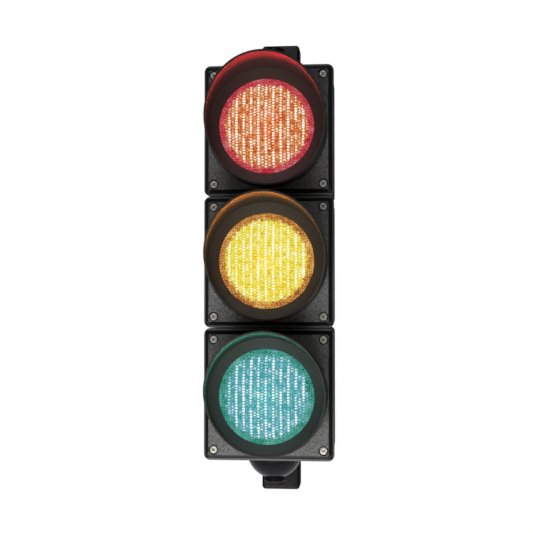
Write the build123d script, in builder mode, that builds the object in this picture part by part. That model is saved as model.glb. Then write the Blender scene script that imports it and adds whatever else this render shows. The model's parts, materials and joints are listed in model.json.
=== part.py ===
from build123d import *
import os
from math import atan2, cos, degrees, radians, sin, sqrt

# Three-aspect LED traffic signal head, carried by two swivelling wall arms.
# The origin is on the wall, midway between the feet of the two arms. +Z is up and the
# signal faces -Y. "Ahead" is a distance in front of the cover's panel, towards -Y.
# "Out" is a distance past the end of the stack of modules, up or down.

os.makedirs("parts", exist_ok=True)

# --- driving dimensions, mm ---------------------------------------------------------
# Stack of three modules
MODULE_WIDTH = 140.6
MODULE_PITCH = 142.5
COVER_HEIGHT = 142.1
HOUSING_WIDTH = 137.2
HOUSING_HEIGHT = 141.1
SCREW_SPACING = 118.0
PANEL_SIZE = 128.8
WALL_TO_PANEL = 206.0
PANEL_TO_HUB = 85.0

# Front cover
COVER_CORNER = 7.0
PANEL_CORNER = 2.5
BEVEL_WIDTH = 4.0
BEVEL_DEPTH = 6.2
BEVEL_CORNER = 5.0
RIM_ROUND = 1.6
COVER_BACK = 14.0
PANEL_THICKNESS = 3.2
PANEL_SIDE_WALL = 2.5
SKIRT_WALL = 4.5
SCREW_POCKET_RADIUS = 5.2
SCREW_POCKET_DEPTH = 3.2
SCREW_POCKET_WALL = 1.2
COVER_HOLE_RADIUS = 2.3
LENS_HOLE_RADIUS = 55.8
SPIGOT_RADIUS = 61.3
SPIGOT_HEIGHT = 8.0
SPIGOT_FLOOR = 1.0
BAYONET_ANGLES = (45, 135, 225, 315)
BAYONET_SLOT = (7.0, 11.0)
BAYONET_LUG = (3.0, 9.0)
BAYONET_LUG_AHEAD = (2.0, 6.0)

# Rear housing
GASKET_THICKNESS = 1.2
HOUSING_WALL = 2.8
HOUSING_END_WALL = 3.2
HOUSING_CORNER = 6.5
HOUSING_INNER_CORNER = 4.0
HOUSING_BACK = 122.0
HOUSING_BACK_ROUND = 11.0
BACK_RECESS = (92.0, 92.0, 1.0)
BACK_RECESS_CORNER = 6.0
BACK_RIB = (3.0, 84.0)
BOSS_SIZE = 14.0
BOSS_LENGTH = 26.0
BOSS_BLIND = 3.0
SCREW_HOLE_RADIUS = 1.95
SCREW_SHANK_RADIUS = 1.9
SCREW_HEAD_RADIUS = 4.15
SCREW_HEAD_HEIGHT = 2.9
SCREW_HEAD_ROUND = 1.4
SCREW_LENGTH = 25.0
CROSS_RECESS = (4.6, 1.1)
CROSS_RECESS_DEPTH = 1.8
CROSS_ANGLE = 38.0

# Visor
VISOR_RADIUS = 63.7
VISOR_WALL = 2.0
VISOR_LIP = 26.8
VISOR_BEND = 22.0
VISOR_TIP = 70.0
VISOR_TIP_RADIUS = 62.5
VISOR_TIP_RISE = 8.8
VISOR_SIDE_AHEAD = 45.0
VISOR_SIDE_STEP = 1.4
VISOR_END_Z = -44.0
FUNNEL_RADIUS = 50.2
FUNNEL_AHEAD = 21.0
FUNNEL_THICKNESS = 1.8
FUNNEL_OUTER_AHEAD = 25.8
FUNNEL_SEAT = 0.5

# Lens and light unit
LENS_RIM_RADIUS = 54.5
LENS_RIM_FRONT = 19.0
LENS_RIM_THICKNESS = 2.8
LENS_DOME_RADIUS = 49.8
LENS_CROWN = 31.0
LENS_WALL = 2.6
LENS_INNER_INSET = 2.0
LENS_GASKET_RADIUS = 51.6
LENS_GASKET_THICKNESS = 1.4
CUP_RADIUS = 55.2
CUP_WALL = 2.0
CUP_BACK = 30.0
CUP_FLANGE_RADIUS = 59.5
CUP_FLANGE_BEHIND = (3.4, 6.2)
CUP_SHELF_WIDTH = 3.0
LED_BOARD_RADIUS = 52.6
LED_BOARD_THICKNESS = 1.6
LED_BOARD_BEHIND = 4.1
BOARD_HOLE_RADIUS = 1.6
LED_PITCH = 7.8
LED_FIELD_RADIUS = 42.0
LED_RADIUS = 2.5
LED_STEM = 5.4
LED_NOSE_ROUND = 2.3
LED_NOSE_FLAT = 0.5
DRIVER_BOARD = (84.0, 64.0, 1.6)
DRIVER_POSTS = (70.0, 50.0)
DRIVER_POST_RADIUS = 3.0
DRIVER_GAP = 8.0
CHOKE = (24.0, 20.0, 15.0)
CHOKE_PLACE = (-24.0, 14.0)
CAPACITOR_RADIUS = 6.0
CAPACITOR_LENGTH = 17.0
CAPACITOR_PLACES = ((8.0, 16.0), (24.0, 16.0))
CONNECTOR = (34.0, 10.0, 10.0)
CONNECTOR_BELOW = 9.0

# Couplings and pivots
TUBE_RADIUS = 10.0
TUBE_BORE_RADIUS = 7.2
TUBE_HOLE_RADIUS = 10.25
NUT_FLATS = 28.0
NUT_HEIGHT = 8.0
COUPLING_END = 2.0
STACK_SEAL_RADII = (14.0, 26.0)
SEAL_RADII = (23.2, 27.0)
TOOTHED_RING_RADII = (12.2, 21.0)
TOOTH_COUNT = 36
TOOTH_HEIGHT = 1.0
RUNNING_GAP = 0.3
PIVOT_CLEARANCE = 0.06

# Arms
DOME_RADIUS = 31.6
DOME_CENTRE_OUT = 0.8
DISC_OUT = (1.5, 11.0)
DOME_WALL = 2.8
PLUG_RADIUS = 12.1
PLUG_OUT = 35.8
PLUG_ROUND = 1.4
PLUG_STUB = 4.0
DOME_BORE_INSET = 5.0
ARM_WIDTH = 30.0
ARM_ROOT = 33.0
ARM_FOOT_OUT = 29.5
FOOT_WIDTH = 46.6
FOOT_DEPTH = 28.0
FOOT_OUT = (-6.0, 62.9)
FOOT_WALL = 3.6
FOOT_FACE = 5.0
FOOT_CORNER = 4.5
FOOT_EDGE_ROUND = 3.2
SLOT_WIDTH = 9.6
SLOT_LENGTH = 24.0
SLOT_EDGE = 6.0
SLEEVE_WALL = 4.0
FOOT_INNER_CORNER = 2.0
RING_SEAT_DEPTH = 2.2
DUCT_START = 16.0
DUCT_FLOOR = 3.8
DUCT_ROOF = 6.5
WIRE_PORT_RADIUS = 4.0
WIRE_PORT_PLACE = 20.5
DUCT_WIDTH = 20.0
GROMMET_LENGTH = 5.0
GROMMET_COLLAR = (6.0, 4.0, 2.0)

# Wiring
WIRE_RADIUS = 1.8
WIRE_BEND = 7.0
TERMINAL_BLOCK = (64.0, 16.0, 16.0)
TERMINAL_BELOW = 40.0
TERMINAL_POLES = 6
TERMINAL_SCREW_RADIUS = 2.2
TERMINAL_SCREW_BELOW = 4.5
TERMINAL_SCREW_DEPTH = 6.0
WIRE_X = {"red": 3.4, "amber": -3.4, "green": -12.0}

# --- derived places -----------------------------------------------------------------
PANEL_Y = -WALL_TO_PANEL
HUB_Y = PANEL_Y + PANEL_TO_HUB
MODULE_Z = {"red": MODULE_PITCH, "amber": 0.0, "green": -MODULE_PITCH}
STACK_END = MODULE_PITCH + HOUSING_HEIGHT / 2
HOUSING_FRONT = COVER_BACK + GASKET_THICKNESS
CUP_FRONT = LENS_RIM_FRONT - LENS_RIM_THICKNESS - LENS_GASKET_THICKNESS
END_WALL_INNER = HOUSING_HEIGHT / 2 - HOUSING_END_WALL
DRIVER_BACK = CUP_BACK + DRIVER_GAP + DRIVER_BOARD[2]
CONNECTOR_BACK = DRIVER_BACK + CONNECTOR[2]
TERMINAL_FACE = HOUSING_BACK - HOUSING_WALL - TERMINAL_BLOCK[2]
SLOT_OUT = FOOT_OUT[1] - SLOT_EDGE - SLOT_LENGTH / 2
HUB_AXIS = Axis((0, HUB_Y, 0), (0, 0, 1))


def front_plane(z, ahead=0.0):
    """Faces the viewer: x is to the right, y is up, and its normal is ahead."""
    return Plane(origin=(0, PANEL_Y - ahead, z), x_dir=(1, 0, 0), z_dir=(0, -1, 0))


def section_plane(z):
    """Cuts a module level through its lens: x is a radius, y is ahead of the panel."""
    return Plane(origin=(0, PANEL_Y, z), x_dir=(1, 0, 0), z_dir=(0, 0, -1))


def side_plane(z):
    """Cuts a module upright through its lens: x is ahead of the panel, y is up."""
    return Plane(origin=(0, PANEL_Y, z), x_dir=(0, -1, 0), z_dir=(-1, 0, 0))


def hub_plane(end):
    """Cuts an arm upright through the hub: x is towards the wall, y is out."""
    return Plane(origin=(0, HUB_Y, end * STACK_END), x_dir=(0, 1, 0), z_dir=(end, 0, 0))


def level_plane(end, out):
    """Lies level at a distance out, with its normal pointing out and x towards the wall."""
    return Plane(origin=(0, HUB_Y, end * (STACK_END + out)), x_dir=(0, 1, 0), z_dir=(0, 0, end))


def lens_axis(z):
    return Axis((0, PANEL_Y, z), (0, -1, 0))


def save(part, name):
    part.part.label = name
    export_step(part.part, f"parts/{name}.step")


def ring_of_revolution(points, plane, axis):
    """Turns a closed outline about an axis."""
    with BuildPart() as ring:
        with BuildSketch(plane):
            with BuildLine():
                Polyline(*points, close=True)
            make_face()
        revolve(axis=axis)
    return ring


# --- pieces of one module -----------------------------------------------------------
def build_cover(name, z):
    """Square front cover: raised panel, bevelled edge, skirt, screw pockets and spigot."""
    with BuildPart() as cover:
        with BuildSketch(front_plane(z, -COVER_BACK)):
            RectangleRounded(MODULE_WIDTH, COVER_HEIGHT, COVER_CORNER)
        extrude(amount=COVER_BACK - BEVEL_DEPTH)
        fillet(cover.faces().sort_by(Axis.Y)[0].edges(), radius=RIM_ROUND)
        bevel_foot = PANEL_SIZE + 2 * BEVEL_WIDTH
        with BuildSketch(front_plane(z, -BEVEL_DEPTH)):
            RectangleRounded(bevel_foot, bevel_foot, BEVEL_CORNER)
        with BuildSketch(front_plane(z)):
            RectangleRounded(PANEL_SIZE, PANEL_SIZE, PANEL_CORNER)
        loft()
        with BuildSketch(front_plane(z, -COVER_BACK)):
            RectangleRounded(MODULE_WIDTH - 2 * SKIRT_WALL, COVER_HEIGHT - 2 * SKIRT_WALL,
                             BEVEL_CORNER)
        extrude(amount=COVER_BACK - BEVEL_DEPTH - PANEL_THICKNESS, mode=Mode.SUBTRACT)
        with BuildSketch(front_plane(z, -BEVEL_DEPTH - PANEL_THICKNESS)):
            hollow = PANEL_SIZE - 2 * PANEL_SIDE_WALL
            RectangleRounded(hollow, hollow, PANEL_CORNER)
        extrude(amount=BEVEL_DEPTH, mode=Mode.SUBTRACT)
        with BuildSketch(front_plane(z, -COVER_BACK)):
            with GridLocations(SCREW_SPACING, SCREW_SPACING, 2, 2):
                Circle(SCREW_POCKET_RADIUS + SCREW_POCKET_WALL)
        extrude(amount=COVER_BACK - PANEL_THICKNESS)
        with BuildSketch(front_plane(z, -PANEL_THICKNESS)):
            Circle(SPIGOT_RADIUS)
        extrude(amount=PANEL_THICKNESS + SPIGOT_HEIGHT)
        with BuildSketch(front_plane(z, SPIGOT_HEIGHT)):
            for angle in BAYONET_ANGLES:
                with Locations(Location((0, 0, 0), (0, 0, angle))):
                    with Locations((SPIGOT_RADIUS, 0)):
                        Rectangle(*BAYONET_SLOT)
        extrude(amount=SPIGOT_FLOOR - SPIGOT_HEIGHT, mode=Mode.SUBTRACT)
        with BuildSketch(front_plane(z, -COVER_BACK)):
            Circle(LENS_HOLE_RADIUS)
        extrude(amount=COVER_BACK + SPIGOT_HEIGHT, mode=Mode.SUBTRACT)
        with Locations(front_plane(z)):
            with GridLocations(SCREW_SPACING, SCREW_SPACING, 2, 2):
                CounterBoreHole(COVER_HOLE_RADIUS, SCREW_POCKET_RADIUS, SCREW_POCKET_DEPTH,
                                COVER_BACK)
    save(cover, f"{name}_cover")


def build_cover_gasket(name, z):
    """Flat rubber ring between the cover's skirt and the housing's front edge."""
    with BuildPart() as gasket:
        with BuildSketch(front_plane(z, -HOUSING_FRONT)):
            RectangleRounded(HOUSING_WIDTH, HOUSING_HEIGHT, HOUSING_CORNER)
            inner = 2 * HOUSING_WALL
            RectangleRounded(HOUSING_WIDTH - inner, HOUSING_HEIGHT - inner,
                             HOUSING_INNER_CORNER, mode=Mode.SUBTRACT)
        extrude(amount=GASKET_THICKNESS)
    save(gasket, f"{name}_cover_gasket")


def build_housing(name, z):
    """Rear housing: an open box with a rounded back, screw bosses and hub holes."""
    length = HOUSING_BACK - HOUSING_FRONT
    with BuildPart() as housing:
        with BuildSketch(front_plane(z, -HOUSING_BACK)):
            RectangleRounded(HOUSING_WIDTH, HOUSING_HEIGHT, HOUSING_CORNER)
        extrude(amount=length)
        back = housing.faces().sort_by(Axis.Y)[-1]
        fillet(back.edges(), radius=HOUSING_BACK_ROUND)
        with BuildSketch(front_plane(z, -HOUSING_FRONT)):
            inner_width = HOUSING_WIDTH - 2 * HOUSING_WALL
            RectangleRounded(inner_width, 2 * END_WALL_INNER, HOUSING_INNER_CORNER)
        extrude(amount=HOUSING_WALL + HOUSING_BACK_ROUND - length, mode=Mode.SUBTRACT)
        with BuildSketch(front_plane(z, HOUSING_WALL - HOUSING_BACK)):
            inset = 2 * HOUSING_BACK_ROUND
            RectangleRounded(HOUSING_WIDTH - inset, HOUSING_HEIGHT - inset,
                             HOUSING_INNER_CORNER)
        extrude(amount=HOUSING_BACK_ROUND, mode=Mode.SUBTRACT)
        with BuildSketch(front_plane(z, -HOUSING_FRONT)):
            boss_x = inner_width - BOSS_SIZE
            boss_z = 2 * END_WALL_INNER - BOSS_SIZE
            with GridLocations(boss_x, boss_z, 2, 2):
                Rectangle(BOSS_SIZE + 1, BOSS_SIZE + 1)
        extrude(amount=-BOSS_LENGTH)
        with BuildSketch(front_plane(z, -HOUSING_FRONT)):
            with GridLocations(SCREW_SPACING, SCREW_SPACING, 2, 2):
                Circle(SCREW_HOLE_RADIUS)
        extrude(amount=BOSS_BLIND - BOSS_LENGTH, mode=Mode.SUBTRACT)
        with BuildSketch(Plane.XY.offset(z - HOUSING_HEIGHT / 2)):
            with Locations((0, HUB_Y)):
                Circle(TUBE_HOLE_RADIUS)
        extrude(amount=HOUSING_HEIGHT, mode=Mode.SUBTRACT)
        with BuildSketch(front_plane(z, -HOUSING_BACK)):
            RectangleRounded(BACK_RECESS[0], BACK_RECESS[1], BACK_RECESS_CORNER)
            with GridLocations(BACK_RECESS[0] / 4, 0, 3, 1):
                Rectangle(*BACK_RIB, mode=Mode.SUBTRACT)
        extrude(amount=BACK_RECESS[2], mode=Mode.SUBTRACT)
    save(housing, f"{name}_housing")


def build_cover_screws():
    """Cross-recess pan head screws that hold the covers, four to each module."""
    head_top = SCREW_HEAD_HEIGHT - SCREW_POCKET_DEPTH
    with BuildPart() as screws:
        for z in MODULE_Z.values():
            with BuildSketch(front_plane(z, -SCREW_POCKET_DEPTH)):
                with GridLocations(SCREW_SPACING, SCREW_SPACING, 2, 2):
                    Circle(SCREW_HEAD_RADIUS)
            extrude(amount=SCREW_HEAD_HEIGHT)
        tops = screws.faces().group_by(Axis.Y)[0]
        fillet(tops.edges(), radius=SCREW_HEAD_ROUND)
        for z in MODULE_Z.values():
            with BuildSketch(front_plane(z, -SCREW_POCKET_DEPTH)):
                with GridLocations(SCREW_SPACING, SCREW_SPACING, 2, 2):
                    Circle(SCREW_SHANK_RADIUS)
            extrude(amount=SCREW_HEAD_HEIGHT - SCREW_LENGTH)
            with BuildSketch(front_plane(z, head_top)):
                with GridLocations(SCREW_SPACING, SCREW_SPACING, 2, 2):
                    Rectangle(*CROSS_RECESS, rotation=CROSS_ANGLE)
                    Rectangle(*CROSS_RECESS, rotation=CROSS_ANGLE + 90)
            extrude(amount=-CROSS_RECESS_DEPTH, mode=Mode.SUBTRACT)
    save(screws, "cover_screws")


def build_visor(name, z):
    """Cutaway hood with its skirt and bayonet lugs, and the funnel ring seated inside it."""
    inner = VISOR_RADIUS - VISOR_WALL
    with BuildPart() as visor:
        for inset, mode in ((0, Mode.ADD), (VISOR_WALL, Mode.SUBTRACT)):
            with BuildSketch(front_plane(z, VISOR_BEND)):
                Circle(VISOR_RADIUS - inset)
            with BuildSketch(front_plane(z, VISOR_TIP + 2)):
                with Locations((0, VISOR_TIP_RISE)):
                    Circle(VISOR_TIP_RADIUS - inset)
            loft(mode=mode)
            with BuildSketch(front_plane(z)):
                Circle(VISOR_RADIUS - inset)
            extrude(amount=VISOR_BEND + 0.01 * (inset > 0), mode=mode)
        with BuildSketch(side_plane(z)):
            with BuildLine():
                top = VISOR_TIP_RADIUS + VISOR_TIP_RISE + 6
                far = VISOR_TIP + 10
                side = VISOR_SIDE_AHEAD
                hood_end = (VISOR_LIP + 3.5, VISOR_END_Z + 2)
                Line((VISOR_LIP, -top), (VISOR_LIP, VISOR_END_Z - 3))
                ThreePointArc((VISOR_LIP, VISOR_END_Z - 3), (VISOR_LIP + 1.0, VISOR_END_Z), hood_end)
                Line(hood_end, (side, 0))
                Line((side, 0), (side + VISOR_SIDE_STEP, 0.8))
                ThreePointArc((side + VISOR_SIDE_STEP, 0.8), (59.5, top / 2), (VISOR_TIP, top))
                Line((VISOR_TIP, top), (far, top))
                Line((far, top), (far, -top))
                Line((far, -top), (VISOR_LIP, -top))
            make_face()
        extrude(amount=2 * VISOR_RADIUS, both=True, mode=Mode.SUBTRACT)
        with BuildSketch(front_plane(z, BAYONET_LUG_AHEAD[0])):
            for angle in BAYONET_ANGLES:
                with Locations(Location((0, 0, 0), (0, 0, angle))):
                    with Locations((inner - 1.0, 0)):
                        Rectangle(*BAYONET_LUG)
        extrude(amount=BAYONET_LUG_AHEAD[1] - BAYONET_LUG_AHEAD[0])
    save(visor, f"{name}_visor")
    with BuildPart() as funnel:
        with BuildSketch(section_plane(z)):
            with BuildLine():
                seat = inner + FUNNEL_SEAT
                Polyline((FUNNEL_RADIUS, FUNNEL_AHEAD),
                         (seat, FUNNEL_OUTER_AHEAD),
                         (seat, FUNNEL_OUTER_AHEAD - FUNNEL_THICKNESS),
                         (FUNNEL_RADIUS, FUNNEL_AHEAD - FUNNEL_THICKNESS), close=True)
            make_face()
        revolve(axis=lens_axis(z))
        add(visor.part, mode=Mode.SUBTRACT)
    save(funnel, f"{name}_funnel_ring")


def dome_arc(radius, crown):
    """Radius of the sphere through the crown and the edge of a shallow dome."""
    return (radius * radius + crown * crown) / (2 * crown)


def build_lens(name, z):
    """Domed lens: a flat rim under the visor's funnel ring, and an even-walled dome."""
    rim_back = LENS_RIM_FRONT - LENS_RIM_THICKNESS
    inner_edge = LENS_DOME_RADIUS - LENS_INNER_INSET
    inner_crown = LENS_CROWN - LENS_WALL

    def dome_point(share, radius, foot, crown):
        sphere = dome_arc(radius, crown - foot)
        place = share * radius
        return (place, crown - sphere + sqrt(sphere * sphere - place * place))

    half = dome_point(0.5, LENS_DOME_RADIUS, LENS_RIM_FRONT, LENS_CROWN)
    inner_half = dome_point(0.5, inner_edge, rim_back, inner_crown)
    with BuildPart() as lens:
        with BuildSketch(section_plane(z)):
            with BuildLine():
                ThreePointArc((0, LENS_CROWN), half, (LENS_DOME_RADIUS, LENS_RIM_FRONT))
                Line((LENS_DOME_RADIUS, LENS_RIM_FRONT), (LENS_RIM_RADIUS, LENS_RIM_FRONT))
                Line((LENS_RIM_RADIUS, LENS_RIM_FRONT), (LENS_RIM_RADIUS, rim_back))
                Line((LENS_RIM_RADIUS, rim_back), (inner_edge, rim_back))
                ThreePointArc((inner_edge, rim_back), inner_half, (0, inner_crown))
                Line((0, inner_crown), (0, LENS_CROWN))
            make_face()
        revolve(axis=lens_axis(z))
    save(lens, f"{name}_lens")


def build_lens_gasket(name, z):
    """Rubber ring that seals the lens rim on the light unit's cup."""
    front = LENS_RIM_FRONT - LENS_RIM_THICKNESS
    inner = LENS_GASKET_RADIUS
    points = [(inner, CUP_FRONT), (LENS_RIM_RADIUS, CUP_FRONT),
              (LENS_RIM_RADIUS, front), (inner, front)]
    save(ring_of_revolution(points, section_plane(z), lens_axis(z)), f"{name}_lens_gasket")


def build_cup(name, z):
    """Light unit's cup: side wall, back wall, board shelf, cover flange and board posts."""
    inner = CUP_RADIUS - CUP_WALL
    shelf = -LED_BOARD_BEHIND - LED_BOARD_THICKNESS
    flange_front, flange_back = CUP_FLANGE_BEHIND
    with BuildPart() as cup:
        with BuildSketch(section_plane(z)):
            with BuildLine():
                Polyline((0, -CUP_BACK), (CUP_RADIUS, -CUP_BACK),
                         (CUP_RADIUS, -flange_back), (CUP_FLANGE_RADIUS, -flange_back),
                         (CUP_FLANGE_RADIUS, -flange_front), (CUP_RADIUS, -flange_front),
                         (CUP_RADIUS, CUP_FRONT), (inner, CUP_FRONT),
                         (inner, shelf), (inner - CUP_SHELF_WIDTH, shelf),
                         (inner - CUP_SHELF_WIDTH, shelf - 2), (inner, shelf - 4),
                         (inner, CUP_WALL - CUP_BACK), (0, CUP_WALL - CUP_BACK), close=True)
            make_face()
        revolve(axis=lens_axis(z))
        with BuildSketch(front_plane(z, -CUP_BACK)):
            with GridLocations(*DRIVER_POSTS, 2, 2):
                Circle(DRIVER_POST_RADIUS)
        extrude(amount=-DRIVER_GAP)
    save(cup, f"{name}_light_cup")


def build_led_board(name, z):
    """Round circuit board that carries the LEDs."""
    with BuildPart() as board:
        with BuildSketch(front_plane(z, -LED_BOARD_BEHIND - LED_BOARD_THICKNESS)):
            Circle(LED_BOARD_RADIUS)
            with PolarLocations(LED_BOARD_RADIUS - 4, 3, start_angle=30):
                Circle(BOARD_HOLE_RADIUS, mode=Mode.SUBTRACT)
        extrude(amount=LED_BOARD_THICKNESS)
    save(board, f"{name}_led_board")


def led_places():
    """Square grid of places inside the round light field."""
    reach = int(LED_FIELD_RADIUS / LED_PITCH)
    steps = range(-reach, reach + 1)
    grid = [(i * LED_PITCH, j * LED_PITCH) for i in steps for j in steps]
    return [(x, y) for x, y in grid if x * x + y * y <= LED_FIELD_RADIUS ** 2]


def build_leds(name, z):
    """Round-nosed LEDs on a square grid."""
    with BuildPart() as leds:
        with BuildSketch(front_plane(z, -LED_BOARD_BEHIND)):
            with Locations(*led_places()):
                Circle(LED_RADIUS)
        extrude(amount=LED_STEM + LED_RADIUS - LED_NOSE_FLAT)
        noses = leds.faces().group_by(Axis.Y)[0]
        fillet(noses.edges(), radius=LED_NOSE_ROUND)
    save(leds, f"{name}_leds")


def build_driver(name, z):
    """Power board behind the cup, with its choke, capacitors and wire connector."""
    with BuildPart() as driver:
        with BuildSketch(front_plane(z, -DRIVER_BACK)):
            RectangleRounded(DRIVER_BOARD[0], DRIVER_BOARD[1], 2)
        extrude(amount=DRIVER_BOARD[2])
        with BuildSketch(front_plane(z, -DRIVER_BACK)):
            with Locations(CHOKE_PLACE):
                Rectangle(CHOKE[0], CHOKE[1])
        extrude(amount=-CHOKE[2])
        with BuildSketch(front_plane(z, -DRIVER_BACK)):
            with Locations(*CAPACITOR_PLACES):
                Circle(CAPACITOR_RADIUS)
        extrude(amount=-CAPACITOR_LENGTH)
        with BuildSketch(front_plane(z, -DRIVER_BACK)):
            with Locations((-2, -CONNECTOR_BELOW)):
                Rectangle(CONNECTOR[0], CONNECTOR[1])
        extrude(amount=-CONNECTOR[2])
    save(driver, f"{name}_driver_board")


# --- wiring inside the stack --------------------------------------------------------
def build_terminals():
    """Terminal block on the back wall of the lowest module, with its screws."""
    z = MODULE_Z["green"] - TERMINAL_BELOW
    pitch = TERMINAL_BLOCK[0] / TERMINAL_POLES
    with BuildPart() as block:
        with BuildSketch(front_plane(z, HOUSING_WALL - HOUSING_BACK)):
            Rectangle(TERMINAL_BLOCK[0], TERMINAL_BLOCK[1])
        extrude(amount=TERMINAL_BLOCK[2])
        with BuildSketch(front_plane(z, -TERMINAL_FACE)):
            with GridLocations(pitch, 0, TERMINAL_POLES, 1):
                with Locations((0, -TERMINAL_SCREW_BELOW)):
                    Circle(TERMINAL_SCREW_RADIUS + 0.2)
        extrude(amount=-TERMINAL_SCREW_DEPTH, mode=Mode.SUBTRACT)
    save(block, "terminal_block")
    with BuildPart() as screws:
        with BuildSketch(front_plane(z, -TERMINAL_FACE - TERMINAL_SCREW_DEPTH)):
            with GridLocations(pitch, 0, TERMINAL_POLES, 1):
                with Locations((0, -TERMINAL_SCREW_BELOW)):
                    Circle(TERMINAL_SCREW_RADIUS)
        extrude(amount=4.5)
        with BuildSketch(front_plane(z, -TERMINAL_FACE - 1.5)):
            with GridLocations(pitch, 0, TERMINAL_POLES, 1):
                with Locations((0, -TERMINAL_SCREW_BELOW)):
                    Rectangle(3.4, 0.7, rotation=25)
        extrude(amount=-1, mode=Mode.SUBTRACT)
    save(screws, "terminal_screws")


def build_wire(name, z):
    """Two-core lead from the terminal block, up the hub axis, to a driver board."""
    x = WIRE_X[name]
    start_z = MODULE_Z["green"] - TERMINAL_BELOW + 4
    end_z = z - CONNECTOR_BELOW
    with BuildPart() as wire:
        with BuildLine() as route:
            FilletPolyline((x, PANEL_Y + TERMINAL_FACE, start_z), (x, HUB_Y, start_z),
                           (x, HUB_Y, end_z), (x, PANEL_Y + CONNECTOR_BACK, end_z),
                           radius=WIRE_BEND)
        start = Plane(origin=(x, PANEL_Y + TERMINAL_FACE, start_z), z_dir=(0, -1, 0))
        with BuildSketch(start):
            Circle(WIRE_RADIUS)
        sweep(path=route.line)
    save(wire, f"{name}_wire")


# --- couplings between modules ------------------------------------------------------
def hub_ring(name, outer, inner, low, high):
    """Plain ring about the hub axis between two heights."""
    with BuildPart() as ring:
        with BuildSketch(Plane.XY.offset(low)):
            with Locations((0, HUB_Y)):
                Circle(outer)
                Circle(inner, mode=Mode.SUBTRACT)
        extrude(amount=high - low)
    save(ring, name)


def save_nuts(name, bottoms):
    """Hexagon nuts round the hub axis, standing at the given heights."""
    with BuildPart() as nuts:
        for low in bottoms:
            with BuildSketch(Plane.XY.offset(low)):
                with Locations((0, HUB_Y)):
                    RegularPolygon(NUT_FLATS / 2, 6, major_radius=False)
                    Circle(TUBE_RADIUS + 0.05, mode=Mode.SUBTRACT)
            extrude(amount=NUT_HEIGHT)
    save(nuts, name)


def build_coupling(name, joint_z):
    """Hollow stud, its two nuts and a seal between two stacked modules."""
    half_gap = (MODULE_PITCH - HOUSING_HEIGHT) / 2
    wall_inner = half_gap + HOUSING_END_WALL
    reach = wall_inner + NUT_HEIGHT + COUPLING_END
    hub_ring(f"{name}_coupling_tube", TUBE_RADIUS, TUBE_BORE_RADIUS,
             joint_z - reach, joint_z + reach)
    hub_ring(f"{name}_stack_seal", STACK_SEAL_RADII[1], STACK_SEAL_RADII[0],
             joint_z - half_gap, joint_z + half_gap)
    save_nuts(f"{name}_coupling_nuts", (joint_z + wall_inner, joint_z - wall_inner - NUT_HEIGHT))


# --- arms: end is +1 for the upper arm and -1 for the lower arm ---------------------
def sphere_radius_at(out, radius=DOME_RADIUS):
    return sqrt(radius ** 2 - (out - DOME_CENTRE_OUT) ** 2)


def sphere_point(degrees_out, radius=DOME_RADIUS):
    angle = radians(degrees_out)
    return (radius * cos(angle), DOME_CENTRE_OUT + radius * sin(angle))


def angle_out(out, radius=DOME_RADIUS):
    return degrees(atan2(out - DOME_CENTRE_OUT, sphere_radius_at(out, radius)))


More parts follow.
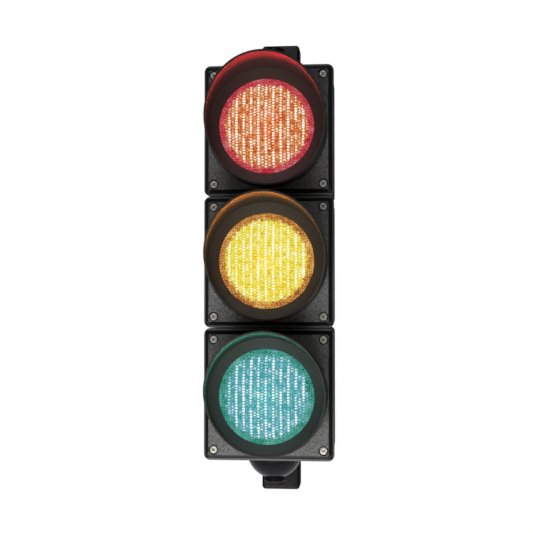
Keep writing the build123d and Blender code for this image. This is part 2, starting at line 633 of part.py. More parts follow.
def build_arm(name, end):
    """Arm in one casting: hub disc, gusseted beam with a cable duct, and hollow foot."""
    to_wall = WALL_TO_PANEL - PANEL_TO_HUB
    foot_face = to_wall - FOOT_DEPTH
    low, high = DISC_OUT
    foot_plane = Plane(origin=(0, 0, end * STACK_END), x_dir=(1, 0, 0), z_dir=(0, -1, 0))
    foot_middle = end * (FOOT_OUT[0] + FOOT_OUT[1]) / 2
    foot_height = FOOT_OUT[1] - FOOT_OUT[0]
    slot_place = (0, end * SLOT_OUT)
    with BuildPart() as arm:
        with BuildSketch(foot_plane):
            with Locations((0, foot_middle)):
                RectangleRounded(FOOT_WIDTH, foot_height, FOOT_CORNER)
        extrude(amount=FOOT_DEPTH)
        fillet(arm.faces().sort_by(Axis.Y)[0].edges(), radius=FOOT_EDGE_ROUND)
        with BuildSketch(foot_plane):
            with Locations((0, foot_middle)):
                RectangleRounded(FOOT_WIDTH - 2 * FOOT_WALL, foot_height - 2 * FOOT_WALL,
                                 FOOT_INNER_CORNER)
        extrude(amount=FOOT_DEPTH - FOOT_FACE, mode=Mode.SUBTRACT)
        with BuildSketch(hub_plane(end)):
            with BuildLine():
                Polyline((0, low + 1.2), (foot_face + 3, low + 1.2),
                         (foot_face + 3, ARM_FOOT_OUT), (foot_face - 8, ARM_FOOT_OUT - 3),
                         (ARM_ROOT, high), (0, high), close=True)
            make_face()
        extrude(amount=ARM_WIDTH / 2, both=True)
        with BuildSketch(hub_plane(end)):
            with BuildLine():
                middle = sphere_point((angle_out(low) + angle_out(high)) / 2)
                Line((0, low), (sphere_radius_at(low), low))
                ThreePointArc((sphere_radius_at(low), low), middle,
                              (sphere_radius_at(high), high))
                Line((sphere_radius_at(high), high), (0, high))
                Line((0, high), (0, low))
            make_face()
        revolve(axis=HUB_AXIS)
        with BuildSketch(level_plane(end, low)):
            Circle(TOOTHED_RING_RADII[1] + 0.2)
        extrude(amount=RING_SEAT_DEPTH, mode=Mode.SUBTRACT)
        with BuildSketch(level_plane(end, low)):
            Circle(TUBE_RADIUS + PIVOT_CLEARANCE)
        extrude(amount=high - low, mode=Mode.SUBTRACT)
        with BuildSketch(hub_plane(end)):
            with BuildLine():
                floor = low + DUCT_FLOOR
                roof = ARM_FOOT_OUT - DUCT_ROOF
                Polyline((DUCT_START, floor), (to_wall, floor), (to_wall, roof),
                         (foot_face - 8, roof), (ARM_ROOT + 6, high - 2),
                         (DUCT_START, high - 2), close=True)
            make_face()
        extrude(amount=DUCT_WIDTH / 2, both=True, mode=Mode.SUBTRACT)
        with BuildSketch(level_plane(end, low + 5)):
            with Locations((WIRE_PORT_PLACE, 0)):
                Circle(WIRE_PORT_RADIUS)
        extrude(amount=high - low - 5, mode=Mode.SUBTRACT)
        with BuildSketch(foot_plane):
            with Locations(slot_place):
                SlotOverall(SLOT_LENGTH + 2 * SLEEVE_WALL, SLOT_WIDTH + 2 * SLEEVE_WALL,
                            rotation=90)
        extrude(amount=FOOT_DEPTH - FOOT_FACE + 0.5)
        with BuildSketch(foot_plane):
            with Locations(slot_place):
                SlotOverall(SLOT_LENGTH, SLOT_WIDTH, rotation=90)
        extrude(amount=FOOT_DEPTH, mode=Mode.SUBTRACT)
    save(arm, f"{name}_arm")


def build_dome(name, end):
    """Spherical cap that closes the hub disc and hides the clamp nut."""
    low = DISC_OUT[1]
    high = DOME_CENTRE_OUT + sqrt(DOME_RADIUS ** 2 - PLUG_RADIUS ** 2)
    inner = DOME_RADIUS - DOME_WALL
    inner_high = high - DOME_WALL
    bore = PLUG_RADIUS - DOME_BORE_INSET
    middle = sphere_point((angle_out(low) + angle_out(high)) / 2)
    inner_angle = (angle_out(low, inner) + angle_out(inner_high, inner)) / 2
    inner_low_radius = sphere_radius_at(low, inner)
    inner_high_radius = sphere_radius_at(inner_high, inner)
    with BuildPart() as dome:
        with BuildSketch(hub_plane(end)):
            with BuildLine():
                Line((inner_low_radius, low), (sphere_radius_at(low), low))
                ThreePointArc((sphere_radius_at(low), low), middle, (PLUG_RADIUS, high))
                Line((PLUG_RADIUS, high), (bore, high))
                Line((bore, high), (bore, inner_high))
                Line((bore, inner_high), (inner_high_radius, inner_high))
                ThreePointArc((inner_high_radius, inner_high), sphere_point(inner_angle, inner),
                              (inner_low_radius, low))
            make_face()
        revolve(axis=HUB_AXIS)
    save(dome, f"{name}_dome")
    with BuildPart() as plug:
        with BuildSketch(level_plane(end, high)):
            Circle(PLUG_RADIUS)
        extrude(amount=PLUG_OUT - high)
        rims = plug.faces().sort_by(HUB_AXIS)[-1 if end > 0 else 0]
        fillet(rims.edges(), radius=PLUG_ROUND)
        with BuildSketch(level_plane(end, high)):
            Circle(bore - 0.1)
        extrude(amount=-PLUG_STUB)
    save(plug, f"{name}_dome_plug")


def build_toothed_ring(name, end):
    """Ring with radial teeth that locks the chosen angle. It is shown backed off."""
    low = RUNNING_GAP + 0.2
    seat = DISC_OUT[0] + RING_SEAT_DEPTH
    inner, outer = TOOTHED_RING_RADII
    with BuildPart() as ring:
        with BuildSketch(level_plane(end, seat)):
            Circle(outer)
            Circle(inner, mode=Mode.SUBTRACT)
        extrude(amount=low + TOOTH_HEIGHT - seat)
        with BuildSketch(level_plane(end, low + TOOTH_HEIGHT + 0.2)):
            with PolarLocations((inner + outer) / 2, TOOTH_COUNT):
                Rectangle(outer - inner - 1.6, 1.3)
        extrude(amount=-TOOTH_HEIGHT - 0.2)
    save(ring, f"{name}_toothed_ring")


def build_pivot(name, end):
    """Hollow pivot tube of the stack, with its lock nut inside and clamp nut outside."""
    inner_end = HOUSING_END_WALL + NUT_HEIGHT + COUPLING_END
    outer_nut = DISC_OUT[1] + RUNNING_GAP
    outer_end = outer_nut + NUT_HEIGHT + COUPLING_END
    with BuildPart() as tube:
        with BuildSketch(level_plane(end, -inner_end)):
            Circle(TUBE_RADIUS)
            Circle(TUBE_BORE_RADIUS, mode=Mode.SUBTRACT)
        extrude(amount=inner_end + outer_end)
    save(tube, f"{name}_pivot_tube")
    lock_nut = -HOUSING_END_WALL - NUT_HEIGHT
    nut_starts = [lock_nut, outer_nut] if end > 0 else [lock_nut + NUT_HEIGHT, outer_nut + NUT_HEIGHT]
    bottoms = [end * (STACK_END + start) for start in nut_starts]
    save_nuts(f"{name}_pivot_nuts", bottoms)


def build_hub_seal(name, end):
    """Rubber ring on the hub disc that keeps rain off the pivot."""
    with BuildPart() as seal:
        with BuildSketch(level_plane(end, RUNNING_GAP)):
            Circle(SEAL_RADII[1])
            Circle(SEAL_RADII[0], mode=Mode.SUBTRACT)
        extrude(amount=DISC_OUT[0] - RUNNING_GAP)
    save(seal, f"{name}_hub_seal")


def build_grommet():
    """Blind rubber grommet in the lower arm's duct, where the supply cable comes in."""
    to_wall = WALL_TO_PANEL - PANEL_TO_HUB
    start = to_wall - FOOT_DEPTH + FOOT_FACE
    low = DISC_OUT[0] + DUCT_FLOOR
    high = ARM_FOOT_OUT - DUCT_ROOF
    with BuildPart() as grommet:
        with BuildSketch(hub_plane(-1)):
            with Locations((start - GROMMET_LENGTH / 2, (low + high) / 2)):
                Rectangle(GROMMET_LENGTH, high - low)
        extrude(amount=DUCT_WIDTH / 2, both=True)
        with BuildSketch(Plane(origin=(0, HUB_Y + start, -STACK_END - (low + high) / 2),
                               x_dir=(1, 0, 0), z_dir=(0, 1, 0))):
            Circle(GROMMET_COLLAR[0])
            Circle(GROMMET_COLLAR[1], mode=Mode.SUBTRACT)
        extrude(amount=GROMMET_COLLAR[2])
    save(grommet, "cable_grommet")


# --- the whole object ---------------------------------------------------------------
for module, height in MODULE_Z.items():
    build_housing(module, height)
    build_cover(module, height)
    build_cover_gasket(module, height)
    build_visor(module, height)
    build_lens(module, height)
    build_lens_gasket(module, height)
    build_cup(module, height)
    build_led_board(module, height)
    build_leds(module, height)
    build_driver(module, height)
    build_wire(module, height)

build_cover_screws()
build_terminals()
build_grommet()

for joint, height in (("upper", MODULE_PITCH / 2), ("lower", -MODULE_PITCH / 2)):
    build_coupling(joint, height)

for bracket, side in (("upper", 1), ("lower", -1)):
    build_arm(bracket, side)
    build_dome(bracket, side)
    build_toothed_ring(bracket, side)
    build_pivot(bracket, side)
    build_hub_seal(bracket, side)
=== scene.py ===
import json
import math

import bpy
import numpy as np
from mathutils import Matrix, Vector


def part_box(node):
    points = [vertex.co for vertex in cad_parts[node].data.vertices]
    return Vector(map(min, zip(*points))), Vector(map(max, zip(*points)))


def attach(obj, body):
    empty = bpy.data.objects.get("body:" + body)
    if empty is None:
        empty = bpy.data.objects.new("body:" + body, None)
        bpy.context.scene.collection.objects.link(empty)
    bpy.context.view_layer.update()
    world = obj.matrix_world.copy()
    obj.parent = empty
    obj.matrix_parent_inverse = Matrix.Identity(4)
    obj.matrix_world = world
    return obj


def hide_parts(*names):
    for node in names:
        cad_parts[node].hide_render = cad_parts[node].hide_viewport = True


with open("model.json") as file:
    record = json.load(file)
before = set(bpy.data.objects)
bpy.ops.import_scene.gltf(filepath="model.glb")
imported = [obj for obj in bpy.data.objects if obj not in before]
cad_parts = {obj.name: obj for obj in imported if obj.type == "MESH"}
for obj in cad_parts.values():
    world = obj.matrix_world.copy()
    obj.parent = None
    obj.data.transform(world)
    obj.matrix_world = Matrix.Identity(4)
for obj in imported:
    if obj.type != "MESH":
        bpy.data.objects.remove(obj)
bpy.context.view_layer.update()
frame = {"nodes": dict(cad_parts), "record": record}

# The head faces -Y and hangs on two arms. Everything is in metres, in the frame's axes.
MM = 0.001
MODULES = ("red", "amber", "green")
HEAD = "head"

# --- camera -------------------------------------------------------------------------
VIEW_AZIMUTH = 5.17
VIEW_ELEVATION = -1.55
VIEW_DISTANCE = 1.108
FOCAL_IN_IMAGE_WIDTHS = 1034 / 533
SENSOR = 36.0
AIM_X = -0.0018
AIM_Z = -0.0052

# --- lens relief and light pattern --------------------------------------------------
COLUMN_PITCH = 7.8 * MM
ROW_PITCH = 2.9 * MM
RELIEF = 0.34 * MM
FIELD_RADIUS = 44.0 * MM
LENS_GRID = 180
LENS_RIM_WIDTH = 4.7 * MM
LENS_RIM_THICKNESS = 2.8 * MM
RELIEF_FADE = 2.0 * MM
FLUTE_SHARE = 0.6
ROW_SHARE = 0.4
FIELD_SOFT_IN = 2.5 * MM
FIELD_SOFT_OUT = 1.0 * MM
FIELD_RAGGED = 14.0 * MM
ROW_WOBBLE = 2.2 * MM
GLOW_STRENGTH = 0.97

# The screw heads stand 0.3 mm below the cover's raised panel.
SCREW_SINK = 0.3 * MM
PANEL_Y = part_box("cover_screws")[0][1] - SCREW_SINK
HUB_LOW, HUB_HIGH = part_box("lower_dome")
HUB_Y = (HUB_LOW[1] + HUB_HIGH[1]) / 2


def tone(red, green, blue):
    """A display colour, 0 to 255, as linear light."""
    shares = (red / 255, green / 255, blue / 255)
    return tuple(s / 12.92 if s <= 0.04045 else ((s + 0.055) / 1.055) ** 2.4 for s in shares)


def module_centre(name):
    """Middle of a module's lens: its x, and its height."""
    low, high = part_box(f"{name}_lens")
    return (low[0] + high[0]) / 2, (low[2] + high[2]) / 2


# --- small node helpers -------------------------------------------------------------
class Shader:
    """A material with a Principled surface and short calls that add nodes to it."""

    def __init__(self, name):
        self.material = bpy.data.materials.new(name)
        self.material.use_nodes = True
        self.tree = self.material.node_tree
        self.surface = self.tree.nodes["Principled BSDF"]
        self.place = self.add("ShaderNodeTexCoord").outputs["Object"]

    def add(self, kind, **settings):
        node = self.tree.nodes.new(kind)
        for key, value in settings.items():
            setattr(node, key, value)
        return node

    def wire(self, socket, target):
        if isinstance(socket, (int, float)):
            target.default_value = socket
        elif isinstance(socket, (tuple, list)):
            target.default_value = tuple(socket)
        else:
            self.tree.links.new(socket, target)

    def math(self, operation, a, b=0.0, c=0.0):
        node = self.add("ShaderNodeMath", operation=operation)
        for value, target in zip((a, b, c), node.inputs):
            self.wire(value, target)
        return node.outputs[0]

    def noise(self, size, detail=2.0, rough=0.5, place=None):
        node = self.add("ShaderNodeTexNoise")
        self.wire(place or self.place, node.inputs["Vector"])
        node.inputs["Scale"].default_value = 1.0 / size
        node.inputs["Detail"].default_value = detail
        node.inputs["Roughness"].default_value = rough
        return node.outputs["Fac"]

    def shifted(self, step):
        """The place moved aside, so that a second noise differs from the first."""
        node = self.add("ShaderNodeVectorMath", operation="ADD")
        self.wire(self.place, node.inputs[0])
        node.inputs[1].default_value = (step, step, step)
        return node.outputs[0]

    def cells(self, size, feature="F1"):
        node = self.add("ShaderNodeTexVoronoi", feature=feature)
        self.wire(self.place, node.inputs["Vector"])
        node.inputs["Scale"].default_value = 1.0 / size
        return node.outputs["Distance"]

    def ramp(self, factor, stops):
        node = self.add("ShaderNodeValToRGB")
        self.wire(factor, node.inputs["Fac"])
        ramp = node.color_ramp
        while len(ramp.elements) < len(stops):
            ramp.elements.new(0.5)
        for element, (place, colour) in zip(ramp.elements, stops):
            element.position = place
            element.color = (*colour, 1.0)
        return node.outputs["Color"]

    def spread(self, factor, low, high, start=0.0, end=1.0, smooth=False):
        kind = "SMOOTHSTEP" if smooth else "LINEAR"
        node = self.add("ShaderNodeMapRange", interpolation_type=kind)
        self.wire(factor, node.inputs["Value"])
        node.inputs["From Min"].default_value = start
        node.inputs["From Max"].default_value = end
        node.inputs["To Min"].default_value = low
        node.inputs["To Max"].default_value = high
        return node.outputs["Result"]

    def blend(self, factor, first, second):
        node = self.add("ShaderNodeMix", data_type="RGBA")
        colours = [socket for socket in node.inputs if socket.type == "RGBA"]
        self.wire(factor, node.inputs["Factor"])
        self.wire(first, colours[0])
        self.wire(second, colours[1])
        return next(socket for socket in node.outputs if socket.type == "RGBA")

    def axes(self):
        split = self.add("ShaderNodeSeparateXYZ")
        self.wire(self.place, split.inputs[0])
        return split.outputs["X"], split.outputs["Y"], split.outputs["Z"]

    def bump(self, height, distance, strength=1.0, normal=None):
        node = self.add("ShaderNodeBump")
        node.inputs["Distance"].default_value = distance
        node.inputs["Strength"].default_value = strength
        self.wire(height, node.inputs["Height"])
        if normal is not None:
            self.wire(normal, node.inputs["Normal"])
        return node.outputs["Normal"]

    def set(self, **values):
        names = {"colour": "Base Color", "roughness": "Roughness", "metallic": "Metallic",
                 "normal": "Normal", "coat": "Coat Weight", "coat_roughness": "Coat Roughness",
                 "glow": "Emission Color", "glow_strength": "Emission Strength",
                 "specular": "Specular IOR Level", "sheen": "Sheen Weight"}
        for key, value in values.items():
            self.wire(value, self.surface.inputs[names[key]])
        return self.material


def shades(colour, low, high):
    """Two shades of one colour, for a ramp."""
    return [(0.3, tuple(c * low for c in colour)), (0.7, tuple(c * high for c in colour))]


def moulded_plastic(name, colour, roughness, grain, depth, specular=0.5):
    """Grained black moulding: pebble grain, faint flow marks and uneven gloss."""
    m = Shader(name)
    flow = m.noise(60 * MM, 3)
    pebble = m.noise(grain, 3, 0.6)
    edge = m.add("ShaderNodeBevel", samples=6)
    edge.inputs["Radius"].default_value = 0.6 * MM
    tint = m.math("ADD", m.math("MULTIPLY", flow, 0.45), m.math("MULTIPLY", pebble, 0.55))
    return m.set(colour=m.ramp(tint, shades(colour, 0.7, 1.35)),
                 roughness=m.spread(tint, roughness - 0.08, roughness + 0.1),
                 normal=m.bump(pebble, depth, 1.0, edge.outputs["Normal"]), specular=specular)


def cover_moulding():
    """Glossy black frame round a pebble-grained panel, with an outer rim painted lighter grey:
    scuffing and a painted highlight where the rounded edge catches light.
    """
    m = Shader("cover_pebble")
    x, y, z = m.axes()
    turned = m.math("WRAP", z, MODULE_PITCH / 2, -MODULE_PITCH / 2)
    side = m.math("MAXIMUM", m.math("ABSOLUTE", x), m.math("ABSOLUTE", turned))
    panel = m.spread(y, 1.0, 0.0, PANEL_Y + 0.1 * MM, PANEL_Y + 0.5 * MM)
    # Painted highlight with scuffing: the outer rim of each cover is painted a lighter grey, standing
    # in partly for the light its rounded edge catches.
    rim_scuff_and_highlight = m.spread(side, 0.0, 1.0, EDGE_START, EDGE_START + 0.9 * MM, smooth=True)
    pebble = m.noise(0.75 * MM, 3, 0.65)
    coarse = m.noise(2.0 * MM, 2)
    flow = m.noise(45 * MM, 3)
    grain = m.math("ADD", m.math("MULTIPLY", pebble, 0.85), m.math("MULTIPLY", coarse, 0.15))
    panel_colour = m.ramp(grain, [(0.36, PANEL_DARK), (0.5, PANEL_MID), (0.64, PANEL_LIGHT)])
    frame_colour = m.ramp(flow, shades(FRAME_BLACK, 0.7, 1.5))
    rim_scuff_and_highlight_colour = m.ramp(grain, shades(RIM_SCUFF_AND_HIGHLIGHT_GREY, 0.6, 1.4))
    colour = m.blend(panel, m.blend(rim_scuff_and_highlight, frame_colour, rim_scuff_and_highlight_colour), panel_colour)
    edge = m.add("ShaderNodeBevel", samples=6)
    edge.inputs["Radius"].default_value = 0.5 * MM
    relief = m.math("MULTIPLY", grain, m.math("MULTIPLY_ADD", panel, 0.92, 0.08))
    roughness = m.math("MULTIPLY_ADD", panel, 0.32, 0.3)
    return m.set(colour=colour, roughness=roughness, specular=0.4,
                 normal=m.bump(relief, 0.42 * MM, 1.0, edge.outputs["Normal"]))


def gloss_plastic(name, colour, roughness, ripple):
    """Polished black moulding with faint sink ripples and a thin dust film."""
    m = Shader(name)
    sink = m.noise(22 * MM, 2)
    dust = m.noise(0.9 * MM, 3, 0.7)
    edge = m.add("ShaderNodeBevel", samples=6)
    edge.inputs["Radius"].default_value = 0.8 * MM
    return m.set(colour=m.ramp(dust, shades(colour, 0.8, 1.6)),
                 roughness=m.spread(dust, roughness, roughness + 0.12),
                 normal=m.bump(sink, ripple, 1.0, edge.outputs["Normal"]), coat=0.12,
                 coat_roughness=0.08, specular=0.25)


def plated_steel(name, colour, roughness):
    """Zinc plate: blotchy passivated colour, fine tool marks and small pits, with painted shade
    deeper than 1.5 mm behind the panel face, in the screw recess and beyond.
    """
    m = Shader(name)
    blotch = m.noise(2.2 * MM, 4, 0.65)
    marks = m.noise(0.35 * MM, 2)
    # Painted shade: the plate fades to a fifth of its colour from 0.5 mm to 1.5 mm behind the panel
    # face, darkening the screw heads' cross recess and all steel further back.
    recess_shade = m.spread(m.axes()[1], 1.0, 0.0, PANEL_Y + 0.5 * MM, PANEL_Y + 1.5 * MM)
    bright = m.ramp(blotch, [(0.3, tuple(c * 0.55 for c in colour)), (0.65, colour)])
    return m.set(colour=m.blend(recess_shade, tuple(c * 0.2 for c in colour) + (1.0,), bright),
                 metallic=0.65, roughness=m.spread(blotch, roughness - 0.08, roughness + 0.14),
                 normal=m.bump(marks, 0.05 * MM))


def soft_rubber(name, colour):
    m = Shader(name)
    speck = m.noise(0.8 * MM, 3)
    return m.set(colour=m.ramp(speck, shades(colour, 0.7, 1.6)), roughness=m.spread(speck, 0.7, 0.9),
                 normal=m.bump(speck, 0.08 * MM))


def circuit_board(name, colour):
    """Solder mask over copper tracks on a 2.5 mm grid."""
    m = Shader(name)
    tracks = m.cells(4.0 * MM, "DISTANCE_TO_EDGE")
    band = m.math("LESS_THAN", tracks, 0.12)
    return m.set(colour=m.ramp(band, [(0.0, colour), (1.0, (0.05, 0.3, 0.12))]), roughness=0.35,
                 normal=m.bump(band, 0.05 * MM), coat=0.5)


# --- the lit lens -------------------------------------------------------------------
FIELD_GLOW = {
    "red": [(0.0, tone(160, 42, 30)), (0.14, tone(196, 78, 36)), (0.28, tone(208, 118, 48)),
            (0.42, tone(222, 158, 92)), (0.58, tone(238, 208, 168)), (0.75, tone(248, 240, 224)),
            (1.0, tone(255, 255, 253))],
    "amber": [(0.0, tone(222, 160, 30)), (0.14, tone(230, 196, 34)), (0.28, tone(233, 226, 54)),
              (0.42, tone(237, 234, 96)), (0.58, tone(242, 241, 164)), (0.75, tone(248, 248, 220)),
              (1.0, tone(255, 255, 253))],
    "green": [(0.0, tone(46, 142, 134)), (0.14, tone(60, 154, 156)), (0.28, tone(80, 164, 178)),
              (0.42, tone(114, 180, 194)), (0.58, tone(168, 207, 216)), (0.75, tone(218, 234, 238)),
              (1.0, tone(255, 255, 255))],
}
MARGIN_GLOW = {
    "red": [(0.38, tone(150, 10, 26)), (0.47, tone(182, 28, 46)), (0.55, tone(190, 62, 76)),
            (0.66, tone(218, 148, 146))],
    "amber": [(0.43, tone(112, 56, 20)), (0.485, tone(170, 96, 38)), (0.545, tone(208, 142, 68)),
              (0.64, tone(238, 206, 118))],
    "green": [(0.43, tone(18, 92, 72)), (0.485, tone(40, 134, 112)), (0.545, tone(70, 156, 144)),
              (0.64, tone(122, 181, 175))],
}
LENS_TINT = {"red": (0.009, 0.0004, 0.0008), "amber": (0.011, 0.004, 0.0004),
             "green": (0.0004, 0.0045, 0.004)}
LED_TINT = {"red": (0.07, 0.002, 0.005), "amber": (0.09, 0.03, 0.002), "green": (0.003, 0.035, 0.03)}


def lit_lens(name):
    """Tinted lens over a bright LED board: each lenslet shows one dot of its LED column."""
    m = Shader(f"lens_{name}_lit")
    centre_x, centre_z = module_centre(name)
    across, _, up = m.axes()
    x = m.math("SUBTRACT", across, centre_x)
    z = m.math("SUBTRACT", up, centre_z)
    radius = m.math("SQRT", m.math("ADD", m.math("MULTIPLY", x, x), m.math("MULTIPLY", z, z)))

    def bell(value, pitch, shift, sharp):
        """1 on every line of a grid, falling off smoothly to 0 between the lines."""
        turn = m.math("MULTIPLY", m.math("ADD", value, shift * pitch), 2 * math.pi / pitch)
        lift = m.math("MULTIPLY_ADD", m.math("COSINE", turn), 0.5, 0.5)
        return m.math("POWER", lift, sharp)

    wobble = m.math("MULTIPLY", m.math("SUBTRACT", m.noise(7 * MM, 2), 0.5), ROW_WOBBLE)
    zig = m.math("ADD", z, wobble)
    column = bell(x, COLUMN_PITCH, 0.0, 4.5)
    between = bell(x, COLUMN_PITCH, 0.5, 2.5)
    quarter = bell(x, COLUMN_PITCH / 4, 0.25, 1.0)
    dots = bell(zig, ROW_PITCH, 0.0, 1.2)
    offset_dots = bell(zig, ROW_PITCH, 0.5, 1.2)
    patch = m.spread(m.noise(8.5 * MM, 2), 0.1, 1.5, 0.3, 0.7)
    side_patch = m.spread(m.noise(6 * MM, 2, 0.5, m.shifted(0.3)), 0.0, 1.3, 0.42, 0.66)
    crumbs = m.noise(1.5 * MM, 3, 0.75)
    beads = m.math("MULTIPLY", m.math("MULTIPLY_ADD", dots, 0.9, 0.25), column)
    beads = m.math("MULTIPLY", beads, patch)
    faint = m.math("MULTIPLY", m.math("MULTIPLY", offset_dots, between), side_patch)
    mesh_light = m.math("MULTIPLY", m.math("MULTIPLY", quarter, dots), 0.2)
    ground = m.spread(crumbs, 0.0, 0.46, 0.36, 0.68)
    extra = m.math("ADD", m.math("MULTIPLY", faint, 0.6), m.math("ADD", mesh_light, ground))
    total = m.math("ADD", m.math("MULTIPLY", beads, 1.05), extra)
    total = m.spread(total, 0.0, 1.0, 0.09, 0.9)
    edge_noise = m.math("MULTIPLY", m.math("SUBTRACT", m.noise(2.6 * MM, 3), 0.5), FIELD_RAGGED)
    lit = m.spread(m.math("ADD", radius, edge_noise), 1.0, 0.0, FIELD_RADIUS - FIELD_SOFT_IN,
                   FIELD_RADIUS + FIELD_SOFT_OUT, smooth=True)
    fleck = m.math("ADD", m.math("MULTIPLY", m.noise(1.1 * MM, 3, 0.7), 0.7),
                   m.math("MULTIPLY", m.noise(12 * MM, 2), 0.3))
    fleck = m.math("ADD", fleck, m.math("MULTIPLY", m.math("MULTIPLY", quarter, offset_dots), 0.09))
    glow = m.blend(lit, m.ramp(fleck, MARGIN_GLOW[name]), m.ramp(total, FIELD_GLOW[name]))
    return m.set(colour=LENS_TINT[name] + (1.0,), roughness=0.5,
                 glow=glow, glow_strength=GLOW_STRENGTH, specular=0.1)


def disc_grid(count):
    """A square grid bent onto a disc of radius 1, as x and z arrays."""
    side = np.linspace(-1.0, 1.0, count)
    a, b = np.meshgrid(side, side, indexing="ij")
    wide = np.abs(a) >= np.abs(b)
    safe_a = np.where(a == 0, 1.0, a)
    safe_b = np.where(b == 0, 1.0, b)
    angle = np.where(wide, (math.pi / 4) * b / safe_a, math.pi / 2 - (math.pi / 4) * a / safe_b)
    reach = np.where(wide, a, b)
    return reach * np.cos(angle), reach * np.sin(angle)


def lens_relief(x, z):
    """Pillow lenslets: upright flutes crossed by rows."""
    flute = np.abs(np.cos(math.pi * x / (COLUMN_PITCH / 2)))
    row = np.abs(np.cos(math.pi * z / ROW_PITCH))
    return RELIEF * (FLUTE_SHARE * flute + ROW_SHARE * row)


def build_lens(name):
    """Domed lens with moulded lenslets, a flat rim and a plain back."""
    low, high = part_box(f"{name}_lens")
    centre_x, centre_z = module_centre(name)
    rim = (high[0] - low[0]) / 2
    dome = rim - LENS_RIM_WIDTH
    rim_front = high[1] - LENS_RIM_THICKNESS
    crown = rim_front - low[1] - RELIEF
    sphere = (dome * dome + crown * crown) / (2 * crown)
    unit_x, unit_z = disc_grid(LENS_GRID)
    x, z = unit_x * dome, unit_z * dome
    r2 = x * x + z * z
    lift = np.sqrt(sphere * sphere - r2) - (sphere - crown)
    fade = np.clip((dome - np.sqrt(r2)) / RELIEF_FADE, 0.0, 1.0)
    y = rim_front - lift - lens_relief(x, z) * fade
    count = LENS_GRID
    verts = np.stack([x + centre_x, y, z + centre_z], axis=-1).reshape(-1, 3).tolist()
    faces = []
    for i in range(count - 1):
        for j in range(count - 1):
            a = i * count + j
            faces.append((a, a + count, a + count + 1, a + 1))
    last = count - 1
    edge = [(i, 0) for i in range(last)] + [(last, j) for j in range(last)]
    edge += [(last - i, last) for i in range(last)] + [(0, last - j) for j in range(last)]
    ring = [i * count + j for i, j in edge]
    angles = [math.atan2(z[i, j], x[i, j]) for i, j in edge]
    for radius, depth in ((rim, rim_front), (rim, high[1]), (dome, high[1])):
        start = len(verts)
        verts += [(centre_x + radius * math.cos(t), depth, centre_z + radius * math.sin(t))
                  for t in angles]
        new = list(range(start, start + len(angles)))
        faces += [(ring[k], ring[k - 1], new[k - 1], new[k]) for k in range(len(ring))]
        ring = new
    faces.append(tuple(ring))
    mesh = bpy.data.meshes.new(f"{name}_lens_moulding")
    mesh.from_pydata(verts, [], faces)
    mesh.polygons.foreach_set("use_smooth", [True] * len(mesh.polygons))
    mesh.update()
    lens = bpy.data.objects.new(f"{name}_lens_moulding", mesh)
    bpy.context.scene.collection.objects.link(lens)
    lens.data.materials.append(lit_lens(name))
    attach(lens, HEAD)
    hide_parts(f"{name}_lens")
    return lens


# --- finishes of the CAD nodes ------------------------------------------------------
MODULE_PITCH = module_centre("red")[1] - module_centre("amber")[1]
EDGE_START = 68.3 * MM
FRAME_BLACK = (0.004, 0.004, 0.0045)
# Grey of the covers' outer rim: scuffing and a painted highlight.
RIM_SCUFF_AND_HIGHLIGHT_GREY = (0.065, 0.065, 0.068)
PANEL_DARK = (0.02, 0.02, 0.021)
PANEL_MID = (0.06, 0.06, 0.061)
PANEL_LIGHT = (0.2, 0.2, 0.2)


def finishes():
    """One material for each slot of the record."""
    return {
        "housing_plastic": moulded_plastic("housing_grain", (0.018, 0.018, 0.019), 0.45, 1.1 * MM,
                                           0.12 * MM),
        "cover_plastic": cover_moulding(),
        "visor_plastic": moulded_plastic("visor_satin", (0.011, 0.01, 0.01), 0.42, 0.7 * MM,
                                         0.04 * MM, 0.3),
        "cup_plastic": moulded_plastic("cup_satin", (0.5, 0.5, 0.51), 0.4, 0.6 * MM, 0.02 * MM),
        "rubber": soft_rubber("seal_rubber", (0.012, 0.012, 0.012)),
        "circuit_board": circuit_board("solder_mask", (0.01, 0.12, 0.04)),
        "zinc_steel": plated_steel("zinc_plate", (0.8, 0.78, 0.73), 0.34),
        "die_cast": plated_steel("cast_alloy", (0.55, 0.55, 0.57), 0.45),
        "arm_black": gloss_plastic("arm_gloss", (0.002, 0.002, 0.004), 0.2, 0.04 * MM),
        "dome_black": gloss_plastic("dome_gloss", (0.002, 0.002, 0.003), 0.12, 0.03 * MM),
        "wire_sheath": moulded_plastic("sheath", (0.2, 0.2, 0.21), 0.45, 0.7 * MM, 0.01 * MM),
        "terminal_plastic": moulded_plastic("terminal", (0.6, 0.58, 0.52), 0.4, 0.7 * MM, 0.02 * MM),
        **{f"led_{name}": gloss_plastic(f"led_resin_{name}", LED_TINT[name], 0.15, 0.02 * MM)
           for name in MODULES},
    }


def dress_nodes():
    """Gives every CAD node that stays in view its finish."""
    made = finishes()
    for part in frame["record"]["subparts"]:
        if part["material_slot"] not in made:
            continue
        for slot in frame["nodes"][part["node"]].material_slots:
            slot.material = made[part["material_slot"]]


# --- studio -------------------------------------------------------------------------
FLOOR_Z = -0.62
SCATTER = {"red": (1.0, 0.22, 0.22), "amber": (0.8, 0.42, 0.1), "green": (0.12, 0.75, 0.62)}
BEAM = {"red": (1.0, 0.012, 0.045), "amber": (1.0, 0.27, 0.02), "green": (0.04, 0.85, 0.42)}
BEAM_SIZE = 0.092
BEAM_POWER = 13.0
SCATTER_AHEAD = 45 * MM
SCATTER_POWER = 0.3
BEAM_SPREAD = 114.0
BEAM_GAP = 1.5 * MM
SCATTER_SOFTNESS = 15 * MM
HIGH_KEY_POWER = 0.8
LOW_FRONT_POWER = 3.4
GLINT_POWER = 0.35
FRONT_FILL_POWER = 3.4
LEVEL_FILL_POWER = 2.0
REAR_POWER = 14
REAR_SIZE = 0.6
WORLD_STRENGTH = 0.06
FLOOR_REACH = 6
FLOOR_BACK = 14
FLOOR_GREY = 0.62


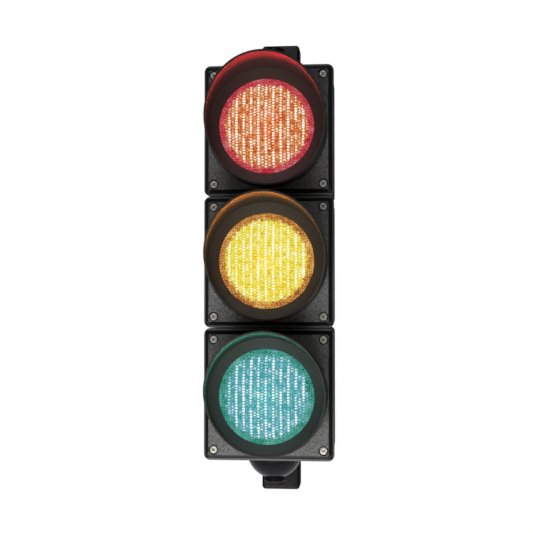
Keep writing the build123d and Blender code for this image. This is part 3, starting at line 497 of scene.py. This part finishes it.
def add_camera():
    """The camera fitted to the photograph: its angle, distance and lens."""
    azimuth, elevation = math.radians(VIEW_AZIMUTH), math.radians(VIEW_ELEVATION)
    aim = Vector((AIM_X, PANEL_Y, AIM_Z))
    back = Vector((math.sin(azimuth) * math.cos(elevation), -math.cos(azimuth) * math.cos(elevation),
                   math.sin(elevation)))
    data = bpy.data.cameras.new("camera")
    data.sensor_width = SENSOR
    data.lens = SENSOR * FOCAL_IN_IMAGE_WIDTHS
    camera = bpy.data.objects.new("camera", data)
    bpy.context.scene.collection.objects.link(camera)
    camera.location = aim + back * VIEW_DISTANCE
    camera.rotation_euler = (-back).to_track_quat("-Z", "Y").to_euler()
    bpy.context.scene.camera = camera


def add_light(name, place, aim, width, height, power, colour=(1, 1, 1), spread=180):
    data = bpy.data.lights.new(name, "AREA")
    data.shape = "RECTANGLE"
    data.size, data.size_y = width, height
    data.energy = power
    data.color = colour
    data.spread = math.radians(spread)
    light = bpy.data.objects.new(name, data)
    bpy.context.scene.collection.objects.link(light)
    light.location = place
    light.rotation_euler = (Vector(aim) - Vector(place)).to_track_quat("-Z", "Y").to_euler()
    return light


def add_beam(name, lens, colour, power, spread):
    """The forward light of a module's LEDs, which catches the hood's tip."""
    low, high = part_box(f"{name}_lens")
    centre_x, centre_z = module_centre(name)
    place = (centre_x, low[1] - BEAM_GAP, centre_z)
    light = add_light(f"{name}_beam", place, (place[0], place[1] - 1, place[2]), BEAM_SIZE, BEAM_SIZE,
                      power, colour, spread)
    light.data.shape = "DISK"
    light.visible_camera = False
    light.visible_glossy = False
    light.parent = lens


def add_scatter(name, lens, colour):
    """The soft coloured light that the lens throws on the hood's inside and the funnel ring."""
    centre_x, centre_z = module_centre(name)
    data = bpy.data.lights.new(f"{name}_scatter", "POINT")
    data.shadow_soft_size = SCATTER_SOFTNESS
    data.energy = SCATTER_POWER
    data.color = colour
    light = bpy.data.objects.new(f"{name}_scatter", data)
    bpy.context.scene.collection.objects.link(light)
    light.location = (centre_x, PANEL_Y - SCATTER_AHEAD, centre_z)
    light.visible_camera = False
    light.visible_glossy = False
    light.parent = lens


def add_floor():
    """Pale floor below the head, which reads as the white of the backdrop from the front."""
    mesh = bpy.data.meshes.new("floor")
    corners = [(-FLOOR_REACH, -FLOOR_REACH), (FLOOR_REACH, -FLOOR_REACH), (FLOOR_REACH, FLOOR_BACK),
               (-FLOOR_REACH, FLOOR_BACK)]
    mesh.from_pydata([(x, y, FLOOR_Z) for x, y in corners], [], [(0, 1, 2, 3)])
    floor = bpy.data.objects.new("floor", mesh)
    bpy.context.scene.collection.objects.link(floor)
    m = Shader("pale_floor")
    m.set(colour=m.ramp(m.noise(0.4, 3), shades((FLOOR_GREY,) * 3, 0.97, 1.03)), roughness=0.9)
    lit = m.add("ShaderNodeEmission")
    path = m.add("ShaderNodeLightPath")
    mix = m.add("ShaderNodeMixShader")
    m.wire(path.outputs["Is Camera Ray"], mix.inputs["Fac"])
    m.wire(m.surface.outputs[0], mix.inputs[1])
    m.wire((1, 1, 1, 1), lit.inputs["Color"])
    m.wire(lit.outputs[0], mix.inputs[2])
    m.wire(mix.outputs[0], m.tree.nodes["Material Output"].inputs["Surface"])
    mesh.materials.append(m.material)


def add_studio():
    """Soft white-room light, and a world that only the camera sees as white."""
    middle = (0, PANEL_Y, 0)
    hub_axis = (0, HUB_Y, 0)
    add_light("high_key", (-0.16, PANEL_Y - 0.85, 1.05), middle, 0.5, 0.35, HIGH_KEY_POWER)
    low = add_light("low_front", (-0.02, PANEL_Y - 0.42, -0.28), (0, PANEL_Y, -0.05), 0.3, 0.08,
                    LOW_FRONT_POWER)
    add_light("low_glint", (-0.06, PANEL_Y - 0.5, -0.5), (0, HUB_Y, -0.2), 0.05, 0.03, GLINT_POWER)
    add_light("front_fill", (-0.12, PANEL_Y - 1.25, 0.95), middle, 1.1, 0.8, FRONT_FILL_POWER)
    level = add_light("level_fill", (-0.22, PANEL_Y - 1.3, -0.25), middle, 0.6, 0.4, LEVEL_FILL_POWER)
    left = add_light("rear_left", (-0.7, 1.05, 0.5), hub_axis, REAR_SIZE, REAR_SIZE, REAR_POWER)
    right = add_light("rear_right", (0.8, 0.95, 0.45), hub_axis, REAR_SIZE, REAR_SIZE, REAR_POWER)
    for soft in (low, level, left, right):
        soft.visible_glossy = False
    world = bpy.data.worlds.new("white_room")
    bpy.context.scene.world = world
    world.use_nodes = True
    nodes, links = world.node_tree.nodes, world.node_tree.links
    nodes["Background"].inputs["Strength"].default_value = WORLD_STRENGTH
    nodes["Background"].inputs["Color"].default_value = (1, 1, 1, 1)
    seen = nodes.new("ShaderNodeBackground")
    seen.inputs["Color"].default_value = (1, 1, 1, 1)
    path = nodes.new("ShaderNodeLightPath")
    mix = nodes.new("ShaderNodeMixShader")
    links.new(path.outputs["Is Camera Ray"], mix.inputs["Fac"])
    links.new(nodes["Background"].outputs[0], mix.inputs[1])
    links.new(seen.outputs[0], mix.inputs[2])
    links.new(mix.outputs[0], nodes["World Output"].inputs["Surface"])
    bpy.context.scene.view_settings.view_transform = "Standard"


add_camera()
dress_nodes()
for module in MODULES:
    moulding = build_lens(module)
    add_beam(module, moulding, BEAM[module], BEAM_POWER, BEAM_SPREAD)
    add_scatter(module, moulding, SCATTER[module])
add_floor()
add_studio()
